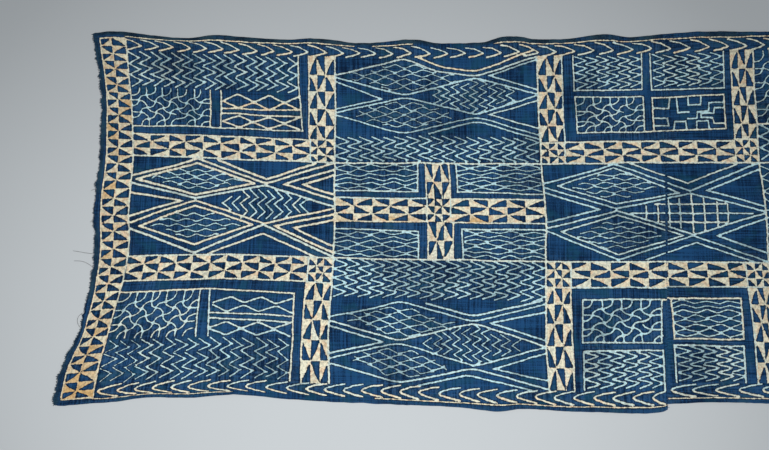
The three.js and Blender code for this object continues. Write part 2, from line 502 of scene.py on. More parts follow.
# A large panel of crossing bands: shares of its length and height where the bands start, turn and meet.
firstDiamonds = {
    "across": (78, 517), "up": (305, 520), "half": 2.75, "warmth": 0.56, "peak": 0.318, "cross": 0.657,
    "ends": (0.795, 0.72, 0.333, 0.272), "waist": (0.566, 0.522), "rounds": 0,
    "crossHigh": 0.754, "netHigh": 0.732, "netLow": 0.328, "crossLow": 0.315,
    "pocketHigh": [(0.418, 0.985), (0.66, 0.8), (0.905, 0.985)], "pocketWarmth": 0.68,
    "brow": [], "pocketLow": [(0.39, 0.015), (0.655, 0.222), (0.917, 0.0)],
    "notch": (0.252, 0.626, 0.545, 0.4), "inner": 0.285,
    "rings": [(0.298, 0.942, 0.757, 0.748, 0.612), (0.275, 0.5, 0.296, 0.312, 0.105)],
    "rows": 7, "wave": 40, "swing": 3.4, "slant": 0.0, "fill": (0.68, 0.84), "thin": 0.6,
    "zigzag": (0.475, 0.855, 10, 16, 8.5),
    "arrows": [(0.75, 0.753, 0.925, 0.6), (0.845, 0.75, 0.868, 0.652), (0.708, 0.308, 0.455, 0.055),
               (0.802, 0.297, 0.402, 0.118)],
}
highDiamonds = {
    "across": (518, 966), "up": (583, 765), "half": 2.2, "warmth": 0.31, "peak": 0.338, "cross": 0.695,
    "ends": (0.768, 0.737, 0.284, 0.255), "waist": (0.497, 0.512), "rounds": 2,
    "crossHigh": 0.752, "netHigh": 0.738, "netLow": 0.27, "crossLow": 0.24,
    "pocketHigh": [(0.413, 0.995), (0.54, 0.874), (0.692, 0.812), (0.853, 0.956), (0.985, 1.085)],
    "pocketWarmth": 0.8, "brow": [(0.506, 0.822)],
    "pocketLow": [(0.457, 0.02), (0.695, 0.187), (1, -0.04)],
    "notch": (0.228, 0.682, 0.466, 0.332), "inner": None,
    "rings": [(0, 0.985, 0, 0, 0.497), (0, 0.497, 0, 0, 0.03)],
    "rows": 8, "wave": 43, "swing": 4.3, "slant": -0.02, "fill": (0.76, 0.9), "thin": 0.72,
    "zigzag": (0.5, 0.865, 9, 9.5, 9.5),
    "arrows": [(0.766, 0.764, 0.962, 0.577), (0.757, 0.269, 0.44, 0.093)],
}
lowDiamonds = {
    "across": (518, 966), "up": (41, 217), "half": 2.2, "warmth": 0.29, "peak": 0.322, "cross": 0.665,
    "ends": (0.79, 0.744, 0.29, 0.233), "waist": (0.51, 0.5), "rounds": 2,
    "crossHigh": 0.766, "netHigh": 0.75, "netLow": 0.25, "crossLow": 0.226,
    "pocketHigh": [(0.446, 0.977), (0.66, 0.83), (0.985, 1.04)], "pocketWarmth": 0.3,
    "brow": [], "pocketLow": [(0.404, 0.0), (0.635, 0.144), (0.923, 0.0)],
    "notch": (0.252, 0.68, 0.498, 0.35), "inner": None,
    "rings": [(0, 0.985, 0, 0, 0.51), (0, 0.49, 0, 0, 0.03)],
    "rows": 8, "wave": 43, "swing": 4.0, "slant": -0.07, "fill": (0.74, 0.88), "thin": 0.72,
    "zigzag": (0.455, 0.86, 10, 11, 9),
    "arrows": [(0.745, 0.756, 0.903, 0.574), (0.755, 0.227, 0.426, 0.108)],
}
netDiamonds = {
    "across": (968, 1446), "up": (305, 520), "half": 2.25, "warmth": 0.29, "peak": 0.325, "cross": 0.665,
    "ends": (0.793, 0.756, 0.34, 0.312), "waist": (0.522, 0.5), "rounds": 0,
    "crossHigh": 0.713, "netHigh": 0.685, "netLow": 0.266, "crossLow": 0.256,
    "pocketHigh": [(0.403, 0.985), (0.66, 0.79), (0.893, 0.985)], "pocketWarmth": 0.45,
    "brow": [], "pocketLow": [(0.447, 0.02), (0.678, 0.187), (0.95, 0.0)],
    "notch": (0.245, 0.7, 0.528, 0.4), "inner": 0.293,
    "rings": [(0.262, 0.95, 0.772, 0.692, 0.58), (0.262, 0.466, 0.307, 0.258, 0.07)],
    "rows": 8, "wave": 43, "swing": 3.0, "slant": 0.0, "fill": (0.6, 0.74), "thin": 0.72, "zigzag": None,
    "arrows": [(0.742, 0.717, 0.935, 0.557), (0.772, 0.26, 0.44, 0.094)],
}


def waveRows(at, look, level, reachU, reachV):  # waves that meet crest to trough across a diamond
    pitch = look["wave"] / 2
    for k in range(look["rows"]):
        share = (k + 0.5) / look["rows"] * 2 - 1
        x, y = at(look["peak"], level + share * reachV)
        span = at((1 - abs(share)) * reachU * hand.uniform(*look["fill"]), 0)[0] - at(0, 0)[0]
        if span < pitch * 0.9:
            continue
        turns = int(span / pitch)
        drift = sway(5)
        rest = (span - turns * pitch) / pitch  # share of the last half wave that fits
        points = []
        for j in range(-turns - 1, turns + 2):
            side = look["swing"] * hand.uniform(0.7, 1.15) * (1 if (j + k) % 2 else -1)
            along = j * pitch + drift + sway(3)
            if abs(j) > turns:
                along = math.copysign(span, j)
                side *= 2 * rest - 1
            ends = (-2.5, 2.5) if abs(j) <= turns else (0,)
            rise = y + side * 0.86 + along * look["slant"]
            points += [(x + along + end, rise) for end in ends]
        drawLine(points, look["half"] * look["thin"], look["warmth"] - 0.3)


def zigzagRows(at, look, middle):  # upright zigzags nested across the second diamond
    fromU, toU, count, step, swing = look["zigzag"]
    peak, cross = look["peak"], look["cross"]
    tall = at(0, look["netHigh"])[1] - at(0, look["netLow"])[1]
    for u in spread(fromU, toU, count - 1):
        share = (u - peak) / (cross - peak) if u < cross else (1 - u) / (1 - cross)
        x, y = at(u, middle)
        turns = max(1, int(share * tall / 2 / step + 0.2))
        points = []
        for j in range(-turns, turns + 1):
            side = (swing if j % 2 else -swing) + sway(1.8)
            points.append((x + side, y + j * step + sway(1.2)))
        drawLine(points, look["half"] * 0.76, look["warmth"] - 0.2)


def diamondPanel(look):
    peak, cross, half, warmth = look["peak"], look["cross"], look["half"], look["warmth"]
    at = chartOn(look["across"], look["up"])
    draw = lambda chart, heat=warmth: drawLine([at(u, v) for u, v in chart], half, heat, look["rounds"])
    ends = look["ends"]
    waist, end = look["waist"]
    rise = [(peak * 0.6, 0.9), (peak, 0.99), *look["brow"], (cross, look["crossHigh"])]
    draw([(0, ends[0]), *rise, (1, 1.0)])
    draw([(0, ends[1]), (peak, waist + 0.01), (cross, look["netHigh"]), (1, end + 0.006)])
    draw([(0, ends[2]), (peak, waist - 0.012), (cross, look["netLow"]), (1, end - 0.006)])
    draw([(0, ends[3]), (peak, 0.02), (cross, look["crossLow"]), (1, 0.01)])
    draw(look["pocketHigh"], look["pocketWarmth"])
    draw(look["pocketLow"])
    tip, upper, level, lower = look["notch"]
    drawLine([at(0, upper), at(tip, level), at(0, lower)], half, warmth)
    for tip, level, upper, lower in look["arrows"]:
        drawLine([at(1, upper), at(tip, level), at(1, lower)], half, warmth)
    for back, top, start, end, foot in look["rings"]:
        reachU = look["inner"] or peak * 0.97
        if look["inner"]:
            ring = [(peak - back, start), (peak, top), (peak + reachU, end), (peak, foot)]
            draw([*ring, ring[0]])
        waveRows(at, look, (top + foot) / 2, reachU, (top - foot) / 2 - 0.012)
    if look["zigzag"]:
        zigzagRows(at, look, (look["netHigh"] + look["netLow"]) / 2)


def drawNet():  # square net inside the right-hand diamond of the third panel
    posts = [(1185, 397, 425), (1210, 390, 430), (1235, 384, 437), (1259, 377, 441), (1286, 366, 448),
             (1312, 372, 441), (1340, 382, 433), (1363, 392, 428)]
    for x, low, high in posts:
        drawLine([(x, low), (x + 1, high)], 2.1, 0.4)
    for y, left, right in ((429, 1205, 1360), (409, 1152, 1418), (390, 1216, 1362)):
        drawLine([(left, y), (right, y)], 2.1, 0.4)


def drawMaze(across, up):  # hooks and steps, charted on a small unit square
    chart = [
        [(0, 0.67), (0.22, 0.67), (0.24, 0.95)],
        [(0.34, 0.95), (0.35, 0.54), (0.5, 0.54)],
        [(0.5, 0.97), (0.5, 0.75), (0.67, 0.74), (0.68, 0.97)],
        [(0.48, 0.34), (0.61, 0.34), (0.62, 0.54), (0.78, 0.56), (0.79, 0.8), (1, 0.83)],
        [(0.83, 0.36), (0.67, 0.37), (0.67, 0.48), (0.85, 0.49), (0.87, 0.66), (1, 0.66)],
        [(0.83, 0.36), (0.85, 0.2), (1, 0.2)],
        [(0, 0.37), (0.2, 0.37), (0.21, 0.15), (0, 0.14)],
        [(0.28, 0.03), (0.3, 0.26), (0.45, 0.26), (0.46, 0.03)],
        [(0.6, 0.03), (0.61, 0.26), (0.77, 0.27), (0.78, 0.05)],
    ]
    at = chartOn(across, up)
    for points in chart:
        drawLine([at(u, v) for u, v in points], 2.2, 0.42)


def drawFrame(corners, warmth=0.5):  # ruled line through a list of corners
    drawLine(corners, drawing["rule"], warmth)


borders = {
    "cells": (791, 13, 43),  # heights of the end bands, and how many rows they have
    "bands": [([14, 42, 75], 0.95), ([1526, 1556, 1587], 0.85)],  # columns and warmth
    "rules": {  # heights of the line along each hem, and where it shows
        (795.5, 794.5, 795.5): [(75, 560), (600, 690), (872, 1526)],
        (11, 10, 10.5): [(75, 335), (610, 1240), (1204, 1526)],
    },
    "headTips": (74, 1488),  # from where to where the arrow marks run
    "footTips": (48, 1476),
    "seam": (1188, 1203, 1208),  # no mark starts here, the last one ends, the right-hand row starts
    "uprights": (517, 967, 1446),
    "levels": (520, 305),
}


def drawArrow(upper, lower, warmth):
    drawLine(upper, 2.0, warmth)
    drawLine(lower, 2.4, warmth + 0.14)


def drawBorders():
    rows = spread(*borders["cells"])
    for columns, warmth in borders["bands"]:
        triangleField(columns, rows, 0, 1, "lrtb", warmth)
    for heights, spans in borders["rules"].items():
        for start, end in spans:
            drawLine(list(zip((start, (start + end) / 2, end), heights)), drawing["hemRule"], 0.8)
    tip, lastTip = borders["headTips"]
    while tip < lastTip:
        tip += 32.5 + 10 * min(tip / 1000, 1) + sway(3)
        long = 34 + 7 * min(tip / 1000, 1) + hand.uniform(-2, 3)
        mid = tip - long * 0.5
        drawArrow([(tip - long, 791), (mid, 786.5), (tip - 6, 779), (tip, 775.5)],
                  [(tip - 1, 775), (tip - 6, 772.5), (mid, 768.5), (tip - long * 0.8, 766)], 0.47)
    tip, lastTip = borders["footTips"]
    noTip, leftEnd, rightStart = borders["seam"]
    while tip < lastTip:
        tip += 33 + 7 * min(tip / 800, 1) + 6 * (tip > 1200) + sway(3)
        if noTip < tip < rightStart:
            tip = rightStart
        long = 38 + 4 * min(tip / 800, 1) + 7 * (tip > 1200) + hand.uniform(-2, 3)
        if tip < rightStart:
            long = min(long, leftEnd - tip)
        mid = tip + long * 0.5
        drawArrow([(tip + long, 40), (mid, 36.5), (tip + 4, 31), (tip, 27.5)],
                  [(tip + 1, 27), (tip + 4, 24), (mid, 18.5), (tip + long * 0.95, 14)], 0.5)
    for x in borders["uprights"]:
        drawFrame([(x, 764), (x, 41)])
    for y in borders["levels"]:
        drawFrame([(76, y), (1526, y)], 0.55)


def drawLadder(left, right, marks, side, ruled):  # upright band of triangles three columns wide
    triangleField(spread(left, right, 3), marks, side, 0, ruled)


def drawFirstPanel():
    chevronField((78, 437), (679, 762), 16, 6)
    drawFrame([(439, 764), (438, 700), (442, 660), (447, 590), (270, 589), (200, 591), (76, 588)])
    wormField((78, 244), (592, 677), 5, 3)
    drawFrame([(247, 677), (246, 591)], 0.6)
    drawFrame([(270, 677), (269, 591)], 0.6)
    for level, first in ((662, 0), (645, 1), (613, 0), (599, 1)):
        waveLine((274, 441), level, 8 if level > 630 else 6.5, 68, first, 2.4, 0.68, 0.4)
    drawLine([(272, 636), (443, 637)], 2.2, 0.65)
    drawLine([(271, 625), (445, 622)], 2.2, 0.65)
    triangleField(spread(76, 462, 10), [570, 553.5, 537, 521], 0, 0, "t")
    drawLadder(461, 516, [766, 721, 682, 642, 603, 571], 1, "lb")
    drawLadder(463, 516, [571, 554, 537, 521], 0, "l")
    diamondPanel(firstDiamonds)
    triangleField(spread(77, 463, 11), [304, 287.5, 271, 253], 0, 0, "b")
    drawFrame([(78, 229), (250, 231), (442, 226), (446, 130), (442, 42)])
    wormField((79, 244), (133, 228), 5, 3, 1.85, 0.32)
    drawFrame([(244, 228), (252, 132)], 0.4)
    drawFrame([(265, 228), (276, 132)], 0.4)
    for level, first in ((209, 0), (191, 1), (156, 0), (141, 1)):
        waveLine((276, 440), level, 6.5, 66, first, 2.15, 0.42, 0.5)
    drawLine([(274, 181), (441, 177)], 2.1, 0.6)
    drawLine([(275, 170), (442, 164)], 2.1, 0.6)
    chevronField((79, 147), (45, 128), 3, 6, 1.25, 0.1)  # fainter beside the border
    chevronField((147, 438), (45, 128), 13, 6, 1.7, 0.18)
    drawLadder(464, 516, [251, 212, 172, 129, 86, 40], 1, "lt")
    drawLadder(465, 516, [304, 287, 271, 253], 0, "l")


def drawSecondPanel():
    chevronField((519, 962), (525, 580), 17, 5, 2.0, 0.12, 0.6, 0.3)
    diamondPanel(highDiamonds)
    boxes = [
        ((520, 694), (458, 518), [(697, 519), (696, 456), (519, 456)]),
        ((784, 963), (458, 518), [(781, 519), (782, 456), (966, 452)]),
        ((520, 694), (308, 366), [(519, 371), (696, 367), (697, 306)]),
        ((794, 964), (309, 371), [(792, 306), (788, 373), (966, 374)]),
    ]
    for across, up, rule in boxes:
        drawFrame(rule, 0.5)
        lozengeField(across, up, 6 + (across[0] > 700), 50, 1.7, 0.1)
    triangleField(spread(519, 715, 5), [440, 422, 405, 388], 1, 1, "tb")
    triangleField(spread(766, 966, 5), [440, 422, 405, 388], 1, 0, "tb")
    triangleField([714, 731, 748, 765], [520, 478, 441], 1, 1, "lr")
    triangleField([717, 734, 752, 770], [388, 347, 306], 1, 1, "lr")
    triangleField([715, 732, 748, 765], [440, 423, 406, 388], 0, 1, "lr")
    chevronField((519, 963), (222, 302), 17, 8, 1.92, 0.12, 0.6, 0.3)
    diamondPanel(lowDiamonds)


def drawThirdPanel():
    drawLadder(968, 1022, [767, 721, 681, 644, 605, 569], 1, "r")
    drawLadder(968, 1020, [567, 552, 537, 521], 0, "tr")
    drawFrame([(1047, 765), (1048, 684), (1197, 683), (1198, 764)])
    chevronField((1050, 1194), (688, 761), 6, 8, 1.85, 0.25, 0.45, 0.1)
    drawFrame([(1217, 764), (1218, 681), (1378, 683), (1380, 764)])
    chevronField((1221, 1375), (687, 761), 6, 8, 1.85, 0.28, 0.7, 0.1)
    drawFrame([(1051, 588), (1049, 669), (1198, 667), (1198, 588), (1051, 588)])
    wormField((1053, 1196), (590, 666), 4, 3, 1.75)
    drawFrame([(1219, 589), (1218, 663), (1376, 668), (1377, 593), (1219, 589), (1198, 588)])
    drawMaze((1219, 1375), (590, 664))
    triangleField(spread(1022, 1395, 9), [567, 551.5, 536, 521], 0, 1, "t")
    drawLadder(1396, 1446, [767, 724, 684, 643, 603, 571], 1, "l")
    drawLadder(1395, 1446, [570, 553, 537, 521], 0, "lt")
    diamondPanel(netDiamonds)
    drawNet()
    triangleField(spread(1021, 1396, 9), [304, 287, 270, 251], 0, 1, "b")
    drawLadder(968, 1020, [250, 217, 176, 132, 87, 42], 1, "r")
    drawLadder(968, 1021, [304, 287, 270, 251], 0, "br")
    drawFrame([(1045, 226), (1042, 139), (1205, 138), (1211, 227), (1045, 226)])
    wormField((1045, 1208), (140, 226), 4, 3, 2.1, 0.25)
    drawFrame([(1040, 43), (1042, 121), (1206, 123), (1204, 43)])
    chevronField((1044, 1202), (46, 119), 6, 8, 1.9, 0.28, 0.45, 0.1)
    drawFrame([(1231, 224), (1231, 137), (1374, 136), (1377, 226), (1231, 224), (1212, 227)])
    lozengeField((1233, 1375), (140, 222), 8, 45, 1.8, 0.25)
    drawFrame([(1229, 43), (1229, 123), (1373, 121), (1370, 43)])
    chevronField((1233, 1369), (46, 119), 5, 8, 1.9, 0.34, 0.45, 0.1)
    drawLadder(1396, 1446, [250, 212, 172, 130, 86, 42], 1, "lt")
    drawLadder(1396, 1446, [304, 287, 270, 251], 0, "lb")


def drawEndPanel():
    wormField((1449, 1524), (604, 762), 2, 5)
    drawFrame([(1447, 602), (1526, 602)])
    chevronField((1450, 1522), (527, 600), 3, 6, 2.0, 0.25, 0.5, 0.1)
    lozengeField((1449, 1524), (310, 516), 14, 42)
    triangleField([1447, 1486, 1526], [304, 287, 270, 252], 0, 1, "b")
    wormField((1449, 1524), (134, 248), 2, 4)
    drawFrame([(1447, 132), (1526, 132)])
    chevronField((1450, 1522), (45, 130), 3, 6, 2.0, 0.25, 0.5, 0.1)


drawBorders()
drawFirstPanel()
drawSecondPanel()
drawThirdPanel()
drawEndPanel()
print("resist drawn:", len(lines), "lines,", len(patches), "triangles")


cotton = {
    "deep": (0.0025, 0.0123, 0.0385, 1),
    "worn": (0.0136, 0.068, 0.178, 1),
    "teal": (0.0095, 0.064, 0.110, 1),
    "rim": (0.0026, 0.0085, 0.025, 1),  # beside the resist
    "hem": [(0.0075, 0.020, 0.037, 1), (0.024, 0.057, 0.083, 1)],  # folded edges, darkest and palest
    "pale": (0.53, 0.77, 0.825, 1),
    "cream": (0.87, 0.81, 0.60, 1),
    "peach": (0.86, 0.60, 0.38, 1),
    "ochre": (0.78, 0.50, 0.21, 1),
    "edge": (0.35, 1.0),  # depth of resist, millimetres, over which the dye stops
    "ragged": (1.7, 1.2),  # how far coarse and fine grain shift that edge, millimetres
    "coarse": 150,  # sizes of the grain, to a metre
    "fine": 420,
    "patches": 9.0,
    "clouds": 26,
    "blushes": 70,
    "leftStreak": (260, 9, 1),  # yarn streaks across and along each web
    "rightStreak": (9, 260, 1),
    "threads": 900,  # yarns to a metre
    "relief": (0.35, 0.0004),  # strength, and height in metres
    "gloss": 0.06,
    "warmestDimming": 0.11,  # how much the warmest marks are drawn darker
}


def makeCotton(name, streak):
    material, board = newMaterial(name)
    place = board.add("ShaderNodeUVMap", {"uv_map": "cloth"})
    read = lambda key: board.add("ShaderNodeAttribute", {"attribute_name": key}, output=2)
    depth, warmth, shade, worked = (read(key) for key in ("resist", "warmth", "shade", "worked"))

    coarse = board.mottle(place, cotton["coarse"], 1.0)
    fine = board.mottle(place, cotton["fine"], 1.0)
    ragged = depth + (coarse - 0.5) * cotton["ragged"][0] + (fine - 0.5) * cotton["ragged"][1]
    mask = board.soften(ragged, *cotton["edge"])
    stripes = board.mottle(board.stretch(place, streak), 1.0, 3.0)
    crossing = board.mottle(board.stretch(place, (streak[1], streak[0], 1)), 1.0, 3.0)
    patchy = board.mottle(place, cotton["patches"], 4.0)
    clouds = board.mottle(place, cotton["clouds"], 3.0)

    age = board.soften(patchy * 0.45 + stripes * 0.6 + crossing * 0.4 + fine * 0.25, 0.66, 1.02)
    ground = board.blend(age, cotton["deep"], cotton["worn"])
    ground = board.blend(board.soften(clouds, 0.48, 0.72) * 0.55, ground, cotton["teal"])
    specks = board.soften(coarse * 0.5 + stripes * 0.5, 0.42, 0.64)
    ground = board.blend(worked * specks * 0.042, ground, cotton["pale"])
    ground = board.blend(board.soften(depth, -1.9, -0.1) * 0.88, ground, cotton["rim"])
    folded = board.blend(board.soften(clouds * 0.6 + fine * 0.4, 0.4, 0.6), *cotton["hem"])
    ground = board.blend(shade * board.soften(patchy, 0.36, 0.52), ground, folded)
    resist = board.blend(board.soften(warmth, 0.2, 0.85), cotton["pale"], cotton["cream"])
    blush = board.soften(board.mottle(place, cotton["blushes"]), 0.45, 0.72)
    resist = board.blend(blush * board.soften(warmth, 0.4, 0.95) * 0.8, resist, cotton["peach"])
    rust = board.soften(warmth + (clouds - 0.5) * 0.7, 0.95, 1.6)
    resist = board.blend(rust, resist, cotton["ochre"])
    beads = board.soften(coarse * 0.6 + fine * 0.4, 0.36, 0.6)
    faint = board.soften(patchy + (warmth - 0.5) * 0.35, 0.26, 0.44)
    strength = mask * (0.66 + 0.34 * beads) * (0.86 + 0.28 * stripes) * (0.6 + 0.4 * faint)
    # the warmest marks are drawn a little darker
    strength = strength * (1.0 - cotton["warmestDimming"] * board.soften(warmth, 0.88, 0.95))
    colour = board.blend(strength, ground, resist)

    rows = {"Vector": place, "Scale": cotton["threads"] * math.pi / 10}
    warp, weft = (board.add("ShaderNodeTexWave", {"bands_direction": way}, rows) for way in "XY")
    weave = warp * weft + fine * 0.8 + mask * 0.5
    strong, high = cotton["relief"]
    relief = board.add("ShaderNodeBump", None, {"Strength": strong, "Distance": high, "Height": weave})
    board.finish({"Base Color": colour, "Roughness": 0.8 + 0.16 * fine, "Normal": relief,
                  "Specular IOR Level": cotton["gloss"]})
    return material


web = {
    "leftSpan": (6, 1270),  # along the cloth, where plain points are laid out
    "rightSpan": (1190, 1600),
    "grid": 12,  # millimetres between them
    "underGrid": 16,  # the same on the underside, which is plain
    "cell": 8,  # for counting how closely the cloth is stitched
    "stitched": (0.3, 0.6),  # points in a cell where the ground starts to pale, and over how many more
    "rim": 8,  # along the hems
    "rimRows": 95,  # points along the seam and the right-hand end
    "inside": 6,  # how far past the seam a mark is still laid out
    "plainRoom": (12, 16, 18, 14, 9),  # kept free of plain points: left, right, foot, head, seam
    "plainShift": 2,
    "selvedge": -0.7,  # how far from the seam the dye-resist starts to fade
    "selvedgeWide": 1.6,  # beside the panel between these heights
    "selvedgePanel": (306, 519),
    "selvedgeFade": 1.5,
    "selvedgeSlope": 1.2,  # how fast the resist deepens from there
    "cap": 0.8,  # how far past its ends a mark is laid out, as a share of its reach
    "inset": 2.2,
    "swell": 0.55,  # how far a triangle's resist spreads past its drawn sides
    "outset": 2.0,  # dye lies darkest this close to the resist
    "ripple": 0.45,
    "rippleRate": 0.021,  # to a millimetre
    "wobble": 1.1,  # unevenness of the edges
    "wobbleReach": 7,  # how far in it is felt
    "wobbleRates": (0.055, 0.21),  # of its slow and quick waves, to a millimetre
    "wobbleQuick": 0.45,  # share of the quick ones
    "wobbleRow": {"head": 1.5, "foot": 4.5, "side": 8.5},  # where each edge reads the noise
    "rawRows": 270,  # points along the raw edge
    "rawSteps": [0, 3, 6, 10],  # and the rows beside it
    "rawWobble": 2.2,
    "rawBump": 3.4,  # small bumps of the raw edge, millimetres
    "rawBumpRate": 0.14,
    "hem": (8.5, 11),  # where the dark of a folded edge ends
    "footShade": 0.25,  # how dark the lower hem and the ends are, next to the upper hem
    "sideShade": 0.8,
    "footCorner": 21,
    "headCorner": 4,
}


def offsetLines(points, half):
    ahead = np.roll(points, -1, 0) - points
    ahead[-1] = ahead[-2]
    ahead /= np.maximum(np.linalg.norm(ahead, axis=1), 1e-6)[:, None]
    behind = np.roll(ahead, 1, 0)
    behind[0] = ahead[0]
    middle = ahead + behind
    middle /= np.maximum(np.linalg.norm(middle, axis=1), 0.35)[:, None]
    normal = np.stack([-middle[:, 1], middle[:, 0]], 1)
    reach = half / np.clip((normal * np.stack([-ahead[:, 1], ahead[:, 0]], 1)).sum(1), 0.45, 1)
    return points + normal * reach[:, None], points - normal * reach[:, None], ahead


def distanceTo(spots, a, b):
    run = b - a
    share = np.clip(((spots - a) @ run) / max(run @ run, 1e-9), 0, 1)
    return np.hypot(*(spots - a - share[:, None] * run).T)


def depthOfLine(spots, points, half):
    best = np.full(len(spots), 1e9)
    for a, b in zip(points, points[1:]):
        best = np.minimum(best, distanceTo(spots, a, b))
    return half - best


def depthOfPatch(spots, corners):
    best = np.full(len(spots), web["outset"] + web["swell"])
    inside = np.zeros(len(spots), bool)
    for a, b in zip(corners, np.roll(corners, -1, 0)):
        best = np.minimum(best, distanceTo(spots, a, b))
        crosses = (a[1] > spots[:, 1]) != (b[1] > spots[:, 1])
        rise = (b[1] - a[1]) or 1.0
        inside ^= crosses & (spots[:, 0] < a[0] + (spots[:, 1] - a[1]) * (b[0] - a[0]) / rise)
    return np.where(inside, np.minimum(best, web["inset"]), -best) + web["swell"]


def depthField(spots):
    depth = np.full(len(spots), -web["outset"])
    warmth = np.zeros(len(spots))
    order = np.argsort(spots[:, 0])
    sortedX = spots[order, 0]
    for points, half, heat in lines + [(corners, None, heat) for corners, heat in patches]:
        reach = (half or 0) + web["outset"]
        low = points.min(0) - reach
        high = points.max(0) + reach
        near = order[np.searchsorted(sortedX, low[0]):np.searchsorted(sortedX, high[0])]
        near = near[(spots[near, 1] > low[1]) & (spots[near, 1] < high[1])]
        if not len(near):
            continue
        here = spots[near]
        found = depthOfPatch(here, points) if half is None else depthOfLine(here, points, half)
        better = found > depth[near]
        depth[near[better]] = found[better]
        warmth[near[better]] = heat
    return depth, warmth


def workedAt(spots):  # how closely stitched the cloth is round each spot, 0 to 1
    drawn = np.concatenate([points for points, half, heat in lines])
    cells = (round(lie["length"] / web["cell"]), round(lie["width"] / web["cell"]))
    counts = np.histogram2d(*drawn.T, bins=cells, range=((0, lie["length"]), (0, lie["width"])))[0]
    for turn in range(2):
        for axis in (0, 1):
            counts = (np.roll(counts, 1, axis) + counts + np.roll(counts, -1, axis)) / 3
    column, row = (np.clip((spots / web["cell"]).astype(int), 0, np.array(cells) - 1)).T
    least, more = web["stitched"]
    return np.clip((counts[column, row] - least) / more, 0, 1)


stains = [  # along, height, half size along, half size up, added warmth
    (0, 0, 170, 150, 0.5), (0, 403, 70, 900, 0.16), (800, 790, 1600, 26, 0.12), (538, 392, 30, 12, 0.45),
    (655, 391, 34, 12, 0.5), (817, 391, 27, 10, 0.4),
]


def stainOf(spots):
    along, height = spots.T
    warmth = np.zeros(len(spots))
    for atAlong, atHeight, halfAlong, halfHeight, added in stains:
        reach = ((along - atAlong) / halfAlong) ** 2 + ((height - atHeight) / halfHeight) ** 2
        warmth += added * np.exp(-reach)
    return warmth


def shrinkShape(corners, by):  # copy of a bowed triangle with its sides moved in, or out
    first = corners[0]
    sides = [corners[1] - first, corners[-1] - first]
    long = [np.linalg.norm(side) for side in sides]
    radius = (sum(long) - math.hypot(*long)) * 0.42
    inner = first + sum(side / length * radius for side, length in zip(sides, long))
    return corners + (inner - corners) * min(by / radius, 0.85)


def selvedgeAt(height):
    low, high = web["selvedgePanel"]
    return np.where((height > low) & (height < high), web["selvedgeWide"], web["selvedge"])


def noiseAt(x, y, z):
    return noise.noise(Vector((x, y, z)))


def uneven(at, end):  # small wandering of an edge, millimetres
    row = web["wobbleRow"][end]
    slow, quick = web["wobbleRates"]
    waves = [noiseAt(a * slow, row, 0.3) + web["wobbleQuick"] * noiseAt(a * quick, row, 7.1) for a in at]
    return np.array(waves) * web["wobble"]


def softenCorner(along, height, radius):  # draws a square corner in to a round one
    inX = np.maximum(radius - along, 0)
    inY = np.maximum(radius - height, 0)
    long = np.hypot(inX, inY)
    pull = np.where(long > 0, np.maximum(inX, inY) / np.maximum(long, 1e-6), 1)
    return inX * (1 - pull), inY * (1 - pull)


def hemShade(far):
    shares = (("head", 1), ("foot", web["footShade"]), ("side", web["sideShade"]))
    return np.max([share * np.interp(far[end], web["hem"], (1, 0)) for end, share in shares], axis=0)


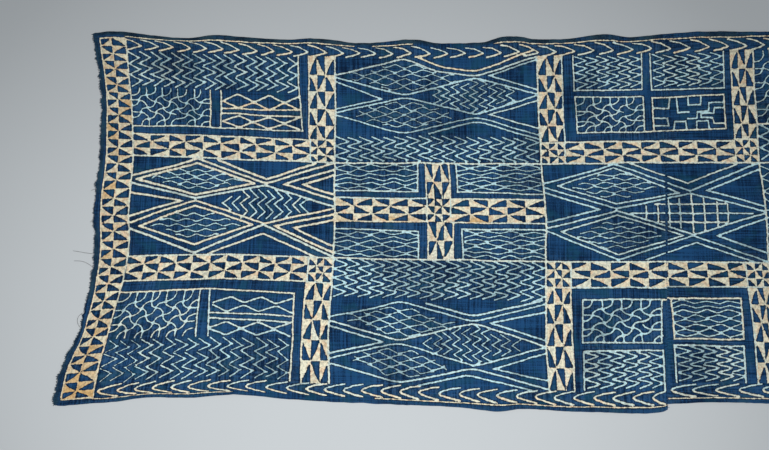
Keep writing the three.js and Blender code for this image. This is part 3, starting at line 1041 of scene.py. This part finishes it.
class FlatWeb:  # one web laid out flat, its triangles, and where they come to lie
    def __init__(self, isLeft, foot):
        self.isLeft = isLeft
        self.foot = foot
        self.hems = [lie["hemRows"], [lie["width"] - h for h in lie["hemRows"]]]
        even = np.linspace(0, lie["width"], web["rimRows"])
        self.heights = np.unique(np.concatenate([even, *self.hems]))
        self.seam = seamAlong(self.heights, foot)
        self.inward = -1 if isLeft else 1
        self.points = []
        self.edges = []

    def seamAt(self, height):
        return np.interp(height, self.heights, self.seam)

    def fromSeam(self, along, height):  # less than nothing on the other web
        return (along - self.seamAt(height)) * self.inward

    def addChain(self, chain, closed=False):
        if not any(self.fromSeam(*p) > -web["inside"] for p in chain):
            return
        first = len(self.points)
        self.points += [(float(x), float(y)) for x, y in chain]
        last = len(self.points) - 1
        self.edges += [(k, k + 1) for k in range(first, last)]
        if closed:
            self.edges.append((last, first))

    def addRim(self):
        fade = selvedgeAt(self.heights)
        for step in (0, fade, fade + web["selvedgeFade"]):
            self.addChain(np.stack([self.seam + self.inward * step, self.heights], 1))
        for height in (h for pair in zip(*self.hems) for h in pair):
            seam = self.seamAt(height)
            start, end = (0, seam) if self.isLeft else (seam, lie["length"])
            count = math.ceil((end - start) / web["rim"])
            self.addChain([(x, height) for x in np.linspace(start, end, count)])
        sides = web["rawSteps"] if self.isLeft else [lie["length"] - row for row in lie["hemRows"]]
        rows = np.linspace(0, lie["width"], web["rawRows"]) if self.isLeft else self.heights
        for x in sides:
            self.addChain([(x, h) for h in rows])

    def addPlain(self):
        atLeft, atRight, atFoot, atHead, atSeam = web["plainRoom"]
        for x in np.arange(*web["leftSpan" if self.isLeft else "rightSpan"], web["grid"]):
            for y in np.arange(atFoot, lie["width"] - atHead, web["grid"]):
                spot = (x + sway(web["plainShift"]), y + sway(web["plainShift"]))
                clear = atLeft < spot[0] < lie["length"] - atRight
                if clear and self.fromSeam(*spot) > atSeam:
                    self.points.append(spot)

    def addMarks(self):
        for points, half, warmth in lines:
            reach = half + web["outset"]
            one, two, ahead = offsetLines(points, reach)
            start = points[0] - ahead[0] * reach * web["cap"]
            end = points[-1] + ahead[-1] * reach * web["cap"]
            self.addChain([start, *points, end])
            self.addChain([start, *one, end, *two[::-1]], closed=True)
        for corners, warmth in patches:
            self.addChain(shrinkShape(corners, -web["outset"]), closed=True)
            self.addChain(shrinkShape(corners, web["inset"]), closed=True)

    def layFace(self):  # spots and triangles of the patterned side
        self.addRim()
        self.addPlain()
        self.addMarks()
        made = delaunay_2d_cdt([Vector(p) for p in self.points], self.edges, [], 0, 0.05)
        spots = np.array([(v.x, v.y) for v in made[0]])
        faces = np.array(made[2])
        middle = spots[faces].mean(1)
        inside = ((middle > 0) & (middle < (lie["length"], lie["width"]))).all(1)
        inside &= self.fromSeam(*middle.T) > 0
        used, index = np.unique(faces[inside], return_inverse=True)
        return spots[used], index.reshape(-1, 3)

    def layUnder(self, spots, rimEdges):  # plain points and triangles inside the same rim
        rim, index = np.unique(rimEdges, return_inverse=True)
        grid = web["underGrid"]
        rows = [np.arange(grid, size, grid) for size in (lie["length"], lie["width"])]
        plain = np.stack(np.meshgrid(*rows), 2).reshape(-1, 2)
        room = self.fromSeam(*plain.T)
        if not self.isLeft:
            room = np.minimum(room, lie["length"] - plain[:, 0])
        plain = plain[(room > grid / 2) & (lie["width"] - plain[:, 1] > grid / 2)]
        under = np.concatenate([spots[rim], plain])
        edges = [tuple(pair) for pair in index.reshape(-1, 2).tolist()]
        # the 1 keeps only what the rim encloses
        made = delaunay_2d_cdt([Vector(p) for p in under], edges, [], 1, 1e-6)
        source = np.array([origins[0] for origins in made[3]])
        return rim, under, source[np.array(made[2])]

    def place(self, spots):  # where flat spots lie, and how far each is from the edges
        along, height = spots.T
        edge = self.seamAt(height)
        far = {
            "seam": np.abs(edge - along),
            "foot": np.maximum(height, 0),
            "head": np.maximum(lie["width"] - height, 0),
            "side": np.maximum(along if self.isLeft else lie["length"] - along, 0),
        }
        x = lieX(along, height)
        y = lieY(along, height, self.foot)
        gap = lie["seamGap"] / 2
        x += -gap * along / edge if self.isLeft else gap * (1 - (along - edge) / (lie["length"] - edge))
        felt = {end: np.exp(-far[end] / web["wobbleReach"]) for end in web["wobbleRow"]}
        y += uneven(along, "head") * felt["head"] + uneven(along, "foot") * felt["foot"]
        if self.isLeft:
            bumps = np.array([noiseAt(h * web["rawBumpRate"], 2.5, 0.3) for h in height])
            x += (uneven(height, "side") * web["rawWobble"] + bumps * web["rawBump"]) * felt["side"]
            for radius, end, up in ((web["footCorner"], "foot", 1), (web["headCorner"], "head", -1)):
                moveX, moveY = softenCorner(far["side"], far[end], radius)
                x += moveX
                y += moveY * up
        return x - lie["middle"][0], y - lie["middle"][1], far

    def thickness(self, spots, far):
        fromHem = np.minimum(far["foot"], far["head"])
        if not self.isLeft:
            fromHem = np.minimum(fromHem, far["side"])
        ripple = np.array([noiseAt(a, h, 1.7) for a, h in spots * web["rippleRate"]])
        return np.interp(fromHem, lie["hemRows"], lie["hemThickness"]) + web["ripple"] * (ripple + 0.5)


def findRim(faces, count):  # edges that only one triangle has
    pairs = np.concatenate([faces[:, [0, 1]], faces[:, [1, 2]], faces[:, [2, 0]]])
    keys = pairs[:, 0] * count + pairs[:, 1]
    return pairs[~np.isin(pairs[:, 1] * count + pairs[:, 0], keys)]


def setValues(mesh, key, domain, values):
    mesh.attributes.new(key, "FLOAT", domain).data.foreach_set("value", values.astype(np.float32))


def dyeMesh(mesh, spots, under, faces, far, farUnder):  # all that the cotton's material reads
    depth = np.minimum(depthField(spots)[0], (far["seam"] - selvedgeAt(spots[:, 1])) * web["selvedgeSlope"])
    depth = np.concatenate([np.maximum(depth, -web["outset"]), np.full(len(under), -web["outset"])])
    setValues(mesh, "resist", "POINT", depth)
    setValues(mesh, "shade", "POINT", np.concatenate([hemShade(far), hemShade(farUnder)]))
    setValues(mesh, "worked", "POINT", np.concatenate([workedAt(spots), np.zeros(len(under))]))
    middle = spots[faces].mean(1)
    warmth = depthField(middle)[1] + stainOf(middle)
    plain = np.zeros(len(mesh.polygons) - len(faces))
    setValues(mesh, "warmth", "FACE", np.concatenate([warmth, plain]))
    mapped = np.concatenate([spots, under]) / 1000
    loops = np.empty(len(mesh.loops), np.int32)
    mesh.loops.foreach_get("vertex_index", loops)
    mesh.uv_layers.new(name="cloth").data.foreach_set("uv", mapped[loops].astype(np.float32).ravel())


def sharpenRim(mesh, rimEdges, below):
    smooth = np.ones(len(mesh.polygons), bool)
    smooth[-len(rimEdges):] = False  # the walls between the two sides come last
    mesh.polygons.foreach_set("use_smooth", smooth)
    rim = {tuple(sorted(pair)) for pair in rimEdges.tolist()}
    rim |= {tuple(sorted((below[a], below[b]))) for a, b in rim}
    sharp = [tuple(sorted(e.vertices)) in rim for e in mesh.edges]
    mesh.attributes.new("sharp_edge", "BOOLEAN", "EDGE").data.foreach_set("value", sharp)


def makeWeb(name, isLeft, foot, material):
    flat = FlatWeb(isLeft, foot)
    spots, faces = flat.layFace()
    count = len(spots)
    rimEdges = findRim(faces, count)
    rim, under, underFaces = flat.layUnder(spots, rimEdges)
    below = dict(zip(rim.tolist(), range(count, count + len(rim))))
    walls = [(a, below[a], below[b], b) for a, b in rimEdges.tolist()]
    x, y, far = flat.place(spots)
    face = np.stack([x, y, liftOf(*spots.T) + flat.thickness(spots, far)], 1) / 1000
    x, y, farUnder = flat.place(under)
    back = np.stack([x, y, liftOf(*under.T)], 1) / 1000
    mesh = bpy.data.meshes.new(name)
    polygons = faces.tolist() + (underFaces[:, ::-1] + count).tolist() + walls
    mesh.from_pydata(np.concatenate([face, back]).tolist(), [], polygons)
    dyeMesh(mesh, spots, under, faces, far, farUnder)
    sharpenRim(mesh, rimEdges, below)
    mesh.materials.append(material)
    mesh.validate()
    first = spots[faces[:, 0]]
    area = np.abs(np.cross(spots[faces[:, 1]] - first, spots[faces[:, 2]] - first)).sum() / 2e6
    triangles = len(faces) + len(underFaces) + len(walls) * 2
    print(name, "has", triangles, "triangles, flat area", round(area, 4))
    row = lambda end, near: sorted(np.flatnonzero(far[end] < near), key=lambda k: spots[k, 1])
    return addObject(name, mesh), area, face[row("side", 0.01)], face[row("seam", 0.05)]


threads = {
    "stitch": {"Spacing": 0.009, "Length": 0.0062, "Radius": 0.0004, "Bow": 0.0011,
               "Lean": 0.4, "Turn": 0.22, "Vary": 0.2},  # metres and radians
    "fray": {"Spacing": 0.0009, "Length": 0.0052, "Radius": 0.0004, "Bow": 0.0004,
             "Lean": 0.0, "Turn": 1.1, "Vary": 0.6},
    "loose": {"Radius": 0.00034},
    "stitchShift": (0.00016, 0, 0.0001),  # from the left web's edge
    "frayShift": (0, 0, -0.0005),
    "stitchColour": (0.035, 0.105, 0.19, 1),
    "frayColour": (0.011, 0.033, 0.058, 1),
    "looseColour": (0.045, 0.045, 0.045, 1),
    "looseTop": 0.0014,
    "looseDrop": 0.0009,
    "loosePaths": [  # millimetres in the frame, from the cloth outwards
        [(-763, -88), (-782, -86), (-797, -83), (-810, -81)],
        [(-763, -118), (-781, -106), (-794, -103), (-806, -103)],
        [(-779, -249), (-788, -241), (-791, -230), (-788, -221), (-780, -215)],
        [(-768, 53), (-775, 56), (-780, 52)],
        [(-765, -16), (-772, -13), (-777, -18)],
    ],
}


def makeYarn(name, colour):
    material, board = newMaterial(name)
    grain = board.mottle(board.add("ShaderNodeTexCoord", output=3), 240)
    dark = tuple(c * 0.55 for c in colour[:3]) + (1,)
    light = tuple(c * 1.5 for c in colour[:3]) + (1,)
    board.finish({"Base Color": board.blend(grain, dark, light), "Roughness": 0.75 + 0.2 * grain,
                  "Specular IOR Level": 0.15})
    return material


def newGrowth(name, sizes):  # an empty Geometry Nodes tree with named sizes
    tree = bpy.data.node_groups.new(name, "GeometryNodeTree")
    kinds = {"Path": "Geometry", **dict.fromkeys(sizes, "Float"), "Yarn": "Material", "Seed": "Int"}
    for size, kind in kinds.items():
        tree.interface.new_socket(size, in_out="INPUT", socket_type="NodeSocket" + kind)
    tree.interface.new_socket("Pieces", in_out="OUTPUT", socket_type="NodeSocketGeometry")
    return Board(tree)


def finishGrowth(board, shape):
    whole = board.add("GeometryNodeRealizeInstances", None, {"Geometry": shape})
    yarn = board.add("NodeGroupInput", output="Yarn")
    done = board.add("GeometryNodeSetMaterial", None, {"Geometry": whole, "Material": yarn})
    board.add("NodeGroupOutput", None, {"Pieces": done})
    return board.tree


def roundYarn(board, path, sides):
    radius = board.add("NodeGroupInput", output="Radius")
    ring = board.add("GeometryNodeCurvePrimitiveCircle", None, {"Resolution": sides, "Radius": radius})
    inputs = {"Curve": path, "Profile Curve": ring, "Fill Caps": True}
    return board.add("GeometryNodeCurveToMesh", None, inputs)


def scatterTree(name, sides):  # short bowed threads along a path, turned and scaled at random
    board = newGrowth(name, ["Spacing", "Length", "Radius", "Bow", "Lean", "Turn", "Vary"])
    get = lambda size: board.add("NodeGroupInput", output=size)
    join = lambda x, y, z: board.add("ShaderNodeCombineXYZ", None, {0: x, 1: y, 2: z})
    path = board.add("GeometryNodeMeshToCurve", None, {"Mesh": get("Path")})
    inputs = {"Curve": path, "Length": get("Spacing")}
    spots = board.add("GeometryNodeCurveToPoints", {"mode": "LENGTH"}, inputs)
    half = get("Length") * 0.5
    arc = board.add("GeometryNodeCurveQuadraticBezier", None, {
        "Resolution": 4,
        "Start": join(half * -1.0, 0.0, 0.0),
        "Middle": join(0.0, 0.0, get("Bow")),
        "End": join(half, 0.0, 0.0),
    })
    thread = roundYarn(board, arc, sides)
    draw = lambda low, high, salt: board.add("FunctionNodeRandomValue", {"data_type": "FLOAT"},
                                             {2: low, 3: high, "Seed": get("Seed") + salt}, output=1)
    turn = join(0.0, 0.0, get("Lean") + draw(get("Turn") * -1.0, get("Turn"), 1.0))
    size = draw(1 - get("Vary"), 1 + get("Vary"), 2.0)
    rows = {"Points": spots, "Instance": thread, "Rotation": turn, "Scale": join(size, size, 1.0)}
    return finishGrowth(board, board.add("GeometryNodeInstanceOnPoints", None, rows))


def strandTree(name, sides):  # a round yarn along each path
    board = newGrowth(name, ["Radius"])
    whole = board.add("NodeGroupInput", output="Path")
    path = board.add("GeometryNodeMeshToCurve", None, {"Mesh": whole})
    return finishGrowth(board, roundYarn(board, path, sides))


def grow(name, paths, tree, sizes, yarn):
    guide = bpy.data.meshes.new(name + "Path")
    points = [tuple(p) for path in paths for p in path]
    edges = []
    first = 0
    for path in paths:
        edges += [(first + k, first + k + 1) for k in range(len(path) - 1)]
        first += len(path)
    guide.from_pydata(points, edges, [])
    maker = addObject(name + "Path", guide)
    modifier = maker.modifiers.new("grow", "NODES")
    modifier.node_group = tree
    sockets = {s.name: s.identifier for s in tree.interface.items_tree if s.in_out == "INPUT"}
    for key, value in {**sizes, "Yarn": yarn, "Seed": 7}.items():
        modifier[sockets[key]] = value
    ready = maker.evaluated_get(bpy.context.evaluated_depsgraph_get())
    mesh = bpy.data.meshes.new_from_object(ready)
    mesh.name = name
    maker.modifiers.remove(modifier)
    bpy.data.objects.remove(maker)
    print(name, "has", len(mesh.polygons), "faces")
    return addObject(name, mesh)


def loosePaths():
    paths = []
    for points in threads["loosePaths"]:
        places = [Vector(p) for p in points]
        for turn in range(2):
            places = cutCorners(places)
        drop = threads["looseDrop"]
        last = len(places) - 1
        heights = [threads["looseTop"] - drop * k / last for k in range(last + 1)]
        paths.append([(p.x / 1000, p.y / 1000, z) for p, z in zip(places, heights)])
    return paths


makeCamera()
makeFloor()
makeLights()
print("studio ready")
leftCotton = makeCotton("indigoCottonLeft", cotton["leftStreak"])
rightCotton = makeCotton("indigoCottonRight", cotton["rightStreak"])
leftCloth, leftArea, rawEdge, leftSeam = makeWeb("leftCloth", True, leftFoot, leftCotton)
rightCloth, rightArea = makeWeb("rightCloth", False, rightFoot, rightCotton)[:2]

seamStitches = grow("seamStitches", [leftSeam[2:-2] + threads["stitchShift"]], scatterTree("stitchRow", 5),
                    threads["stitch"], makeYarn("stitchYarn", threads["stitchColour"]))
rawFray = grow("rawFray", [rawEdge + threads["frayShift"]], scatterTree("frayRow", 3),
               threads["fray"], makeYarn("frayYarn", threads["frayColour"]))
looseThreads = grow("looseThreads", loosePaths(), strandTree("looseYarn", 5),
                    threads["loose"], makeYarn("looseYarn", threads["looseColour"]))
for piece in (leftCloth, rightCloth, seamStitches, rawFray, looseThreads):
    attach(piece, "root")
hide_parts("left_web")
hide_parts("right_web")

print("cloth finished")
